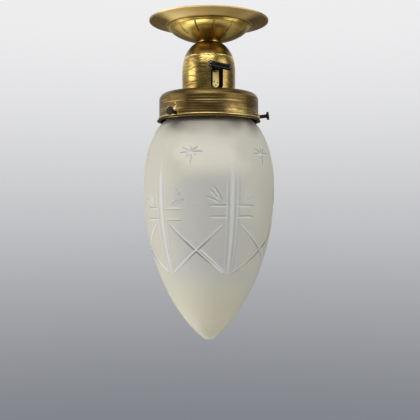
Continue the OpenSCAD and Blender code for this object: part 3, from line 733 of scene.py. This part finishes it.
# The turned line where the bell's shoulder ends
shoulder_z = bell_top_z - 14.0
bell_line = [(bell_r, z) for z in np.linspace(bell_low_z, bell_straight_z, 44)[:-1]] + [
    (
        bell_r * math.sqrt(1 - (bell_end * t) ** bell_round),
        bell_straight_z + bell_curve * bell_end * t,
    )
    for t in np.sin(np.linspace(0, 1, 110) * math.pi / 2)
]
bell_inside = [p for p in offset(bell_line, -brass_wall)[::-1] if p[1] < bell_top_z - brass_wall]
bell_profile = (
    bell_line
    + [(nipple_r + seat_fit, bell_top_z), (nipple_r + seat_fit, bell_top_z - brass_wall)]
    + [(bell_top_r - 0.3, bell_top_z - brass_wall)]
    + bell_inside[::2]
    + [bell_inside[-1]]
)


def level_axes(turn_right):
    """The directions out and sideways at an angle right of the front"""
    a = math.radians(turn_right)
    out = np.array([math.sin(a), -math.cos(a), 0])
    return out, np.array([math.cos(a), math.sin(a), 0])


def bell_turning(turn, radius, height):
    """A shallow groove where the bell's shoulder ends"""
    rows = np.arange(radius.shape[1]) < len(bell_line)
    return -0.22 * np.clip(1 - np.abs(height - shoulder_z) / 0.7, 0, 1) * rows[None, :]


bell = lathe("brass_bell", bell_profile, even_turns(420), bell_turning)
upright = np.array([0, 0, 1.0])
key_out, key_side = level_axes(key_turn)
slot_low = bell_low_z + slot_rise
half_w, rise = slot_w / 2 - slot_corner_r, slot_h - slot_corner_r
slot_outline = (
    arc(half_w, slot_corner_r, slot_corner_r, -90, 0, 8)
    + arc(half_w, rise, slot_corner_r, 0, 90, 8)
    + arc(-half_w, rise, slot_corner_r, 90, 180, 8)
    + arc(-half_w, slot_corner_r, slot_corner_r, 180, 270, 8)
)
slot_cutter = prism(
    "slot_cutter", slot_outline, 10, 30, upright * slot_low, key_out, key_side, upright
)
cut_away(bell, [slot_cutter])

points, turn, height, radius_now = measure(bell)
bell_outer_r = np.interp(height, [z for _, z in bell_line], [r for r, _ in bell_line])
outside = radius_now > bell_outer_r - brass_wall / 2
# Painted dark reflection: the bell is drawn brown above the line where its shoulder ends
mark = 0.72 * smooth(height, shoulder_z + 0.2, shoulder_z + 1.2)
# Painted dark reflection: a brown band low on the bell, just left of the front
dark_reflection_band = smooth(turn, -30, -22) * smooth(turn, 0, -8) * smooth(height, -50, -60)
mark = np.maximum(mark, 0.42 * dark_reflection_band)
beside_slot = smooth(turn, 24, 28) * smooth(turn, 78, 60) * smooth(height, -40, -48)
mark = np.maximum(mark, 0.55 * beside_slot)
# Scratches, each from one (angle, height) to another, with its width and bend: first the long
# dark ones, then finer ones on the right, on the left and at the back
strokes = [
    ((-28, -43.2), (-3, -42.6), 0.8, 0.3),
    ((-42, -46.8), (-6, -46.0), 0.85, 1.8),
    ((-52, -52.0), (-24, -54.0), 0.8, 0.8),
    ((-46, -57.5), (-20, -56.5), 0.7, -0.5),
    ((-60, -61.0), (-33, -60.0), 0.8, 0.6),
    ((-30, -38.0), (-8, -36.8), 0.7, 0.4),
]
long_strokes = len(strokes)
rng = np.random.default_rng(7)
for _ in range(30):
    start = rng.uniform(38, 78), rng.uniform(-64, -36)
    end = start[0] + rng.uniform(5, 16), start[1] - rng.uniform(1, 6)
    strokes.append((start, end, 0.7, 0.0))
for _ in range(34):
    start = rng.uniform(-85, -26), rng.uniform(-66, -36)
    end = start[0] + rng.uniform(8, 26), start[1] + rng.uniform(-1.6, 1.6)
    strokes.append((start, end, rng.uniform(0.4, 0.62), rng.uniform(-0.3, 0.8)))
for _ in range(60):
    start = rng.uniform(90, 280), rng.uniform(-64, -34)
    end = start[0] + rng.uniform(5, 22), start[1] + rng.uniform(-3, 3)
    strokes.append((start, end, 0.6, 0.5))
soot = np.zeros(len(turn))
for number, (start, end, width, bend) in enumerate(strokes):
    for whole in (0, 360):
        s0, e0 = (start[0] - whole, start[1]), (end[0] - whole, end[1])
        found = stroke(turn, height, radius_now, s0, e0, width, bend) * outside
        mark = np.maximum(mark, found)
        soot = np.maximum(soot, (0.8 if number < long_strokes else 0.3) * found)
# Painted highlights along the line where the shoulder ends and along the slot's edges
shine = np.clip(1.2 - np.abs(height - shoulder_z) / 0.55, 0, 1) * outside
from_slot = np.abs(np.abs(points @ key_side) - slot_w / 2)
edge = np.clip(1 - from_slot / 0.5, 0, 1) * (points @ key_out > 15)
edge *= (height > slot_low - 0.5) & (height < slot_low + slot_h)
shine = np.maximum(shine, edge * outside * (1 - 0.75 * beside_slot))
add_attributes(bell, mark=mark, shine=shine, soot=soot)
paint(bell, turned_brass("bell_brass", False, 0.7, 0.6, 0.04, scratches=0.8))
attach(bell, "lamp")
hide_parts("bell_cover")

# Gallery

plate_line = [(r, bell_low_z) for r in (holder_r + seat_fit, 22, 26, 30, 34)]
shoulder_low_z = bell_low_z - shoulder_r
gallery_line = (
    plate_line
    + arc(gallery_r - shoulder_r, shoulder_low_z, shoulder_r, 90, 0, 28)
    + [(gallery_r, z) for z in np.linspace(shoulder_low_z, bead_z + bead_r, 60)[1:-1]]
    + arc(gallery_r, bead_z, bead_r, 90, -90, 14)
    + [
        (lip_r - 0.7, gallery_low_z + 0.95),
        (lip_r - 0.2, gallery_low_z + 0.75),
        (lip_r, gallery_low_z + 0.4),
        (lip_r - 0.1, gallery_low_z + 0.05),
        (lip_r - 0.3, gallery_low_z),
    ]
)
gallery_inside = (
    [(gallery_r - brass_wall, z) for z in np.linspace(gallery_low_z, shoulder_low_z, 8)[:-1]]
    + arc(gallery_r - shoulder_r, shoulder_low_z, shoulder_r - brass_wall, 0, 90, 12)
    + [(holder_r + seat_fit, bell_low_z - brass_wall)]
)
# Fine turned rings round the skirt, as (height, half width, strength)
skirt_rings = []
ring_z = gallery_low_z + 5.0
while ring_z < bell_low_z - 3.0:
    skirt_rings.append((ring_z, rng.uniform(0.45, 0.8), rng.uniform(0.5, 1.0)))
    ring_z += rng.uniform(1.6, 2.9)


def turned_rings(height):
    """A ring's strength in its middle, 0 between the rings"""
    found = np.zeros_like(height)
    for middle_z, half, strength in skirt_rings:
        found = np.maximum(found, strength * np.clip(1 - np.abs(height - middle_z) / half, 0, 1))
    return found


def gallery_turning(turn, radius, height):
    """The rings stand 0.16 mm at most out of the skirt, and waver a little"""
    rows = np.arange(radius.shape[1]) < len(gallery_line)
    wobble = height + 0.15 * np.sin(np.radians(turn) * 3)
    return -0.16 * turned_rings(wobble) * rows[None, :]


gallery = lathe("brass_gallery", gallery_line + gallery_inside, even_turns(480), gallery_turning)


def screw_axes(turn_right):
    """A thumb screw's place on the skirt, and its directions out, sideways and up"""
    tip = math.radians(screw_tip_up)
    flat, side = level_axes(turn_right)
    origin = flat * gallery_r + upright * screw_z
    out = flat * math.cos(tip) + upright * math.sin(tip)
    return origin, out, side, np.cross(out, side)


boss_hole = arc(0, 0, boss_r + seat_fit, 0, 345, 23)
cut_away(
    gallery,
    [
        prism(f"boss_cutter_{number}", boss_hole, -5, 6, *screw_axes(turn_right))
        for number, turn_right in enumerate(screw_turns)
    ],
)

_, turn, height, radius_now = measure(gallery)
above = height - gallery_low_z
shell_line = np.array(gallery_line[len(plate_line) :])[::-1]
on_skirt = radius_now > np.interp(height, shell_line[:, 1], shell_line[:, 0]) - 0.45
on_top = (height > bell_low_z - 0.4) & (radius_now < gallery_r - shoulder_r + 1)
outside = (on_skirt & (above > 0.2)) | on_top
# Painted shadow: the inside and the underside are drawn black, and so is the lip at its left and
# right ends
soot = np.where(outside, 0.0, 0.94)
lip_ends = smooth(np.abs(np.abs(turn) - 90), 44, 26)
soot = np.where(outside & (above < 1.6), 0.94 * lip_ends, soot)
# Painted highlights: brighter places on the right and the left of the front, low on the skirt
patches = 0.8 * smooth(np.abs(turn - 42), 36, 20) * smooth(above, 13, 6)
left_patch = smooth(np.abs(turn + 40), 16, 6) * smooth(above, 11, 5)
patches = np.maximum(patches, 0.6 * left_patch)
uneven = 0.55 + 0.45 * np.sin(np.radians(turn) * 4 + height * 1.7)
soot = np.maximum(soot, 0.62 * turned_rings(height) * uneven * (1 - 0.5 * patches) * outside)
mark = 0.55 * turned_rings(height) * (0.55 + 0.45 * np.sin(np.radians(turn) * 5 + height))
mark = np.maximum(mark, 0.90 - 0.5 * patches) * outside
shine = 0.25 * patches * uneven * outside
dull = 0.38 * smooth(np.abs(turn + 32), 24, 8) + 0.26 * smooth(np.abs(turn - 42), 20, 8)
soot = np.maximum(soot, dull * smooth(above, 7, 10) * outside)
# Dark and bright scratches along the turning, then short ones round the left thumb screw
for _ in range(46):
    start = rng.uniform(-180, 180), rng.uniform(gallery_low_z + 4, bell_low_z - 2)
    end = start[0] + rng.uniform(10, 50), start[1] + rng.uniform(-0.6, 0.6)
    found = stroke(turn, height, radius_now, start, end, 0.6) * outside
    mark, soot = np.maximum(mark, found), np.maximum(soot, 0.55 * found)
for _ in range(30):
    start = rng.uniform(-180, 180), rng.uniform(gallery_low_z + 4, bell_low_z - 4)
    end = start[0] + rng.uniform(8, 40), start[1] + rng.uniform(-0.4, 0.4)
    shine = np.maximum(shine, 0.7 * stroke(turn, height, radius_now, start, end, 0.5) * outside)
for number in range(26):
    start = rng.normal(-43, 7), rng.normal(screw_z + 2, 2.6)
    end = start[0] + rng.uniform(-5, 5), start[1] + rng.uniform(-2.5, 2.5)
    found = stroke(turn, height, radius_now, start, end, 0.65) * outside
    if number % 2:
        mark = np.maximum(mark, found)
    else:
        shine = np.maximum(shine, found)
# A painted highlight along the bead
bead = np.clip(1.2 - np.hypot(radius_now - gallery_r - bead_r, height - bead_z), 0, 1)
shine = np.maximum(shine, 0.7 * bead)
add_attributes(gallery, mark=mark, shine=shine, soot=soot)
paint(gallery, turned_brass("gallery_brass", False, 0.5, 0.85, 0.05))
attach(gallery, "lamp")
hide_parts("gallery")

# Glass shade


def glass_below(steps, wide, drop, round_steps):
    """The glass below its widest place: steps along the side, then the round tip"""
    side = [
        (wide * (1 - t**glass_low_round) ** glass_low_power, glass_wide_z - drop * t)
        for t in np.array(steps) * tip_start
    ]
    radius, centre, turn = round_tip(wide, drop)
    angles = turn * (1 - np.linspace(0, 1, round_steps + 1)[1:])
    return side + [
        (radius * math.sin(a), glass_wide_z + centre - radius * math.cos(a)) for a in angles
    ]


def glass_above(steps, narrow, wide):
    """The glass from its widest place up to the neck"""
    return [
        (
            narrow + (wide - narrow) * (1 - t**glass_up_round) ** glass_up_power,
            glass_wide_z + upper_h * t,
        )
        for t in steps
    ]


def closing_steps(count):
    """Steps from 0 to 1 that get shorter towards 1"""
    return 1 - (1 - np.linspace(0, 1, count)) ** 1.6


screw_reach = gallery_r - neck_r - free_gap
screw_tip_z = screw_z - screw_reach * math.tan(math.radians(screw_tip_up))
mouth_low_z = screw_tip_z + shank_r + free_gap + 0.2
# The wheel cuts end before this part of the way down and up, and the points are close so far
cuts_end = 0.62
below_steps = np.concatenate(
    [np.linspace(0, cuts_end, 230), cuts_end + (1 - cuts_end) * closing_steps(44)[1:]]
)
above_steps = np.concatenate([np.linspace(0, cuts_end, 80), np.linspace(cuts_end, 1, 24)[1:]])
glass_outside = (
    glass_below(below_steps, glass_r, lower_h, 16)[::-1]
    + glass_above(above_steps, neck_r, glass_r)[1:]
    + [(neck_r, mouth_low_z - 0.3), (neck_r + 0.3, mouth_low_z)]
    + arc(mouth_r - 0.8, mouth_low_z + 0.8, 0.8, -90, 0, 6)
    + arc(mouth_r - 1.5, mouth_top_z - 1.5, 1.5, 0, 90, 8)
)
glass_inside = (
    arc(neck_r - glass_wall + 0.8, mouth_top_z - 0.8, 0.8, 90, 180, 5)
    + glass_above(np.linspace(0, 1, 24), neck_r - glass_wall, glass_r - glass_wall)[1:][::-1]
    + glass_below(closing_steps(40), glass_r - glass_wall, lower_h - 1.6 * glass_wall, 8)
)

# Wheel cuts, each with its start and end as (degrees right of the front, height), its half
# width and depth in millimetres, and the way to its dark side as (right, up). A cut longer
# than LONG_CUT is a diagonal, and one whose half width is over WIDE_HALF reads as two lines.
DARK_ABOVE, DARK_BELOW = (0.89, 0.45), (0.0, -1.0)
LONG_CUT, WIDE_HALF, CUT_TAPER = 50, 2, 4.0
CUTS_TOP_Z, CUTS_LOW_Z = -105, -232
columns = [20.4, 94.0, 166.0, 242.0, 316.2]
left_column = len(columns) - 1
star_z, bar_z, bar_low_z = -122.0, -166.3, -175.4
cross_top_z, cut_low_z = -181.0, -223.5
cuts = []
side_r, side_z = np.array([(r, z) for r, z in glass_outside if z < mouth_low_z - 1]).T


def glass_radius(z):
    return np.interp(z, side_z, side_r)


def degrees_for(mm, z):
    """The turn round the glass that a length takes up at a height"""
    return math.degrees(mm / float(glass_radius(z)))


def add_cut(turn_from, start, end, half, deep, dark=DARK_ABOVE):
    """A cut between two places given as (millimetres round from an angle, height)"""
    ends = [(turn_from + degrees_for(u, z), z) for u, z in (start, end)]
    cuts.append((*ends, half, deep, dark))


for number, centre in enumerate(columns):
    following = columns[0] + 360 if number == left_column else columns[number + 1]
    lowered = 2.2 if number == left_column else 0.0
    # The fan and the two bars on either side of a column
    for side in (-1, 1):
        fan = (side * 7.6, bar_z - lowered + 1.0)
        for rise_deg, near, far in ((24, 4.0, 17.0), (44, 4.0, 17.5), (59, 4.5, 18.0)):
            a = math.radians(rise_deg)
            start, end = (
                (fan[0] + side * reach * math.cos(a), fan[1] + reach * math.sin(a))
                for reach in (near, far)
            )
            add_cut(centre, start, end, 1.2, 0.65 if side < 0 or number > 2 else 0.25)
        for z in (bar_z - lowered, bar_low_z - lowered):
            dark = DARK_BELOW if number == left_column and side > 0 else DARK_ABOVE
            add_cut(centre, (side * 2.4, z), (side * 20.5, z), 1.2, 0.6, dark)
    # The two long diagonals that cross between this column and the next
    for start, end in ((centre, following), (following, centre)):
        toward = 1 if end > start else -1
        high = (start + toward * 7.5, cross_top_z)
        low = (end - toward * degrees_for(2.5, cut_low_z), cut_low_z)
        cuts.append((high, low, 1.5, 0.6, DARK_BELOW))
        if toward > 0:
            crossing = ((high[0] + low[0]) / 2, (high[1] + low[1]) / 2)
            cuts.append((crossing, low, 2.3, 0.75, DARK_BELOW))
    # The star above them, and a short faint cut below the star
    star = (centre + following) / 2 - 4.0
    for turned, back, far in ((3, 9.5, 10.5), (90, 9.0, 5.5), (42, 5.5, 7.5), (152, 5.0, 8.5)):
        a = math.radians(turned)
        start, end = (
            (reach * math.cos(a), star_z + reach * math.sin(a)) for reach in (-back, far)
        )
        add_cut(star, start, end, 1.05, 0.6)
    add_cut((centre + following) / 2, (-5.0, -163.0), (6.0, -163.0), 0.6, 0.15)


def wheel_cuts(turn, radius, height):
    """How far the cuts move each point, below 0 because they go in where the line runs up. It
    also fills cut_maps: depth, the painted bright core of the cuts, the way to their painted dark
    side, how strong that side is (gain), and the painted dark lines beside and between bright
    ones (shadow)."""
    rows = np.flatnonzero((height[0] < CUTS_TOP_Z) & (height[0] > CUTS_LOW_Z) & outer_rows)
    t, r, z = turn[:, rows], radius[:, rows], height[:, rows]
    found, core, shadow = np.zeros_like(r), np.zeros_like(r), np.zeros_like(r)
    dark_right, dark_up = np.full_like(r, DARK_ABOVE[0]), np.full_like(r, DARK_ABOVE[1])
    gain = np.full_like(r, 0.8)
    # Upright flutes: a wide one on each column between two narrow ones
    for centre in columns:
        off = np.radians(turned_from(centre, t)) * r
        narrow = (r / glass_r) ** 1.7
        fade = smooth(z, -120, -158) * smooth(z, cut_low_z - 3, cut_low_z + 6)
        for middle_mm, half, deep in ((0, 3.0, 0.5), (-4.9, 1.7, 0.34), (4.9, 1.7, 0.34)):
            x = (off / narrow - middle_mm) / half
            found = np.maximum(found, deep * np.clip(1 - x * x, 0, 1) ** 1.3 * fade)
            if middle_mm == 0:
                core = np.maximum(core, 0.62 * smooth(np.abs(x), 0.6, 0.2) * fade)
    # The other cuts, measured in millimetres round from each one's middle
    for start, end, half, deep, dark in cuts:
        middle_turn = (start[0] + end[0]) / 2
        off = turned_from(middle_turn, t)
        u = np.radians(off) * r
        near = np.abs(off) < abs(end[0] - start[0]) / 2 + 6
        u0 = np.radians(start[0] - middle_turn) * glass_radius(start[1])
        u1 = np.radians(end[0] - middle_turn) * glass_radius(end[1])
        du, dz = u1 - u0, end[1] - start[1]
        length = math.hypot(du, dz)
        along = ((u - u0) * du + (z - start[1]) * dz) / (length * length)
        inside = np.clip(along, 0, 1)
        gap = np.hypot(u - u0 - inside * du, z - start[1] - inside * dz)
        taper = np.clip(np.minimum(inside, 1 - inside) * length / CUT_TAPER, 0, 1) ** 0.6
        width = half * (0.5 + 0.5 * taper)
        shape = deep * (0.3 + 0.7 * taper) * smooth(gap / width, 1, 0)
        deeper = near & (shape > found)
        found = np.where(deeper, shape, found)
        dark_right = np.where(deeper, dark[0], dark_right)
        dark_up = np.where(deeper, dark[1], dark_up)
        if length > LONG_CUT:
            by_crossing = 0.5 + 0.5 * smooth(np.abs(along - 0.5), 0.36, 0.06)
            gain = np.where(deeper, by_crossing, gain)
            below = (u - u0) * dz - (z - start[1]) * du
            below *= math.copysign(1, du) / (length * width)
            band = smooth(below, 0.0, 0.3) * smooth(below, 1.3, 0.9)
            band *= np.clip(taper * 2 - 1, 0, 1) * by_crossing**2
            shadow = np.maximum(shadow, np.where(near, band, 0))
        middle_gap = gap / width
        if half > WIDE_HALF:
            between = 0.5 * smooth(middle_gap, 0.3, 0.1) * taper
            shadow = np.maximum(shadow, np.where(near, between, 0))
            middle_gap = np.abs(middle_gap - 0.5) * 2.0
        line = smooth(middle_gap, 0.55, 0.15) * np.clip(taper * 2 - 0.6, 0, 1)
        core = np.maximum(core, np.where(near, line * min(deep / 0.6, 1), 0))
    maps = {"depth": found, "core": core, "dark_right": dark_right, "dark_up": dark_up}
    maps |= {"gain": gain, "shadow": shadow}
    for key, values in maps.items():
        cut_maps[key] = np.zeros_like(radius)
        cut_maps[key][:, rows] = values
    return -cut_maps["depth"]


outer_rows = np.arange(len(glass_outside) + len(glass_inside)) < len(glass_outside)
cut_maps = {}
glass = lathe(
    "cut_glass_shade", glass_outside + glass_inside, even_turns(900), wheel_cuts, sharp_deg=70
)
# The distance between neighbouring points, round the glass and up it, in millimetres
step_round, step_up = 0.4, 0.38
slope_round = np.gradient(cut_maps["depth"], axis=0) / step_round
slope_up = np.gradient(cut_maps["depth"], axis=1) / step_up
steep = np.hypot(slope_round, slope_up)
# The light leaves one side of each cut dark, and the other side bright
toward_dark = cut_maps["dark_right"] * slope_round + cut_maps["dark_up"] * slope_up
dark_side = -toward_dark / np.maximum(steep, 0.01)
edge = smooth(steep, 0.12, 0.5)
bright = np.maximum(cut_maps["core"], 0.7 * edge * smooth(dark_side, -0.1, -0.5))
dark = edge * (0.25 + 0.75 * smooth(dark_side, -0.4, 0.2)) * cut_maps["gain"]
_, turn, height, _ = measure(glass)
# Painted brown shadows under the neck, as (degrees right of the front, strength)
smoke = np.zeros(len(turn))
for centre, strength in ((-38, 0.75), (31, 0.65), (57, 0.6), (100, 0.7), (168, 0.6), (236, 0.7)):
    off = np.radians(turned_from(centre, turn)) * neck_r
    patch = np.exp(-((off / 6.0) ** 2) - ((height - glass_neck_z + 5.0) / 6.5) ** 2)
    smoke = np.maximum(smoke, strength * patch)
add_attributes(
    glass,
    cut=np.clip(cut_maps["depth"].reshape(-1) / 0.35, 0, 1),
    core=bright.reshape(-1),
    edge=np.maximum(dark, cut_maps["shadow"]).reshape(-1),
    smoke=smoke,
)
paint(glass, frosted_glass())
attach(glass, "lamp")
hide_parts("glass_shade")

# Materials of the other pieces

slots = {s["node"]: s.get("material_slot") for s in frame["record"]["subparts"]}
finishes = {
    "spun_brass": turned_brass("boss_brass", False, 0.5, 0.7, 0.04),
    "bright_brass": plain_metal(
        "bright_brass", (1.0, 0.84, 0.30), (0.95, 0.76, 0.24), 0.34, 0.002
    ),
    "steel": plain_metal("zinc_plated_steel", (0.56, 0.56, 0.55), (0.42, 0.41, 0.39), 0.32),
    "blackened_steel": soft_solid(
        "blackened_steel", (0.006, 0.005, 0.004), (0.03, 0.021, 0.012), 0.42, specular=0.16
    ),
    "black_handle": soft_solid(
        "black_handle", (0.003, 0.003, 0.005), (0.004, 0.004, 0.006), 0.08, specular=0.9
    ),
    "porcelain": soft_solid("porcelain", (0.83, 0.81, 0.75), (0.76, 0.73, 0.66), 0.16, coat=0.6),
    "fibre": soft_solid("vulcanised_fibre", (0.040, 0.010, 0.009), (0.02, 0.006, 0.006), 0.5),
    "black_glass": soft_solid(
        "black_glass", (0.01, 0.01, 0.01), (0.02, 0.02, 0.02), 0.12, coat=0.5
    ),
    "wire_cover_red": soft_solid("red_wire_cover", (0.25, 0.03, 0.025), (0.16, 0.02, 0.02), 0.6),
    "wire_cover_black": soft_solid(
        "black_wire_cover", (0.03, 0.03, 0.03), (0.06, 0.055, 0.05), 0.6
    ),
    "clear_glass": soft_solid(
        "clear_glass", (0.97, 0.98, 0.97), (0.94, 0.96, 0.95), 0.02, transmission=1.0
    ),
}
for name, obj in nodes.items():
    if name not in ("canopy", "bell_cover", "gallery", "glass_shade"):
        paint(obj, finishes[slots[name]])
paint(nodes["neck_collar"], turned_brass("collar_brass", False, 0.3, 0.6, 0.03))
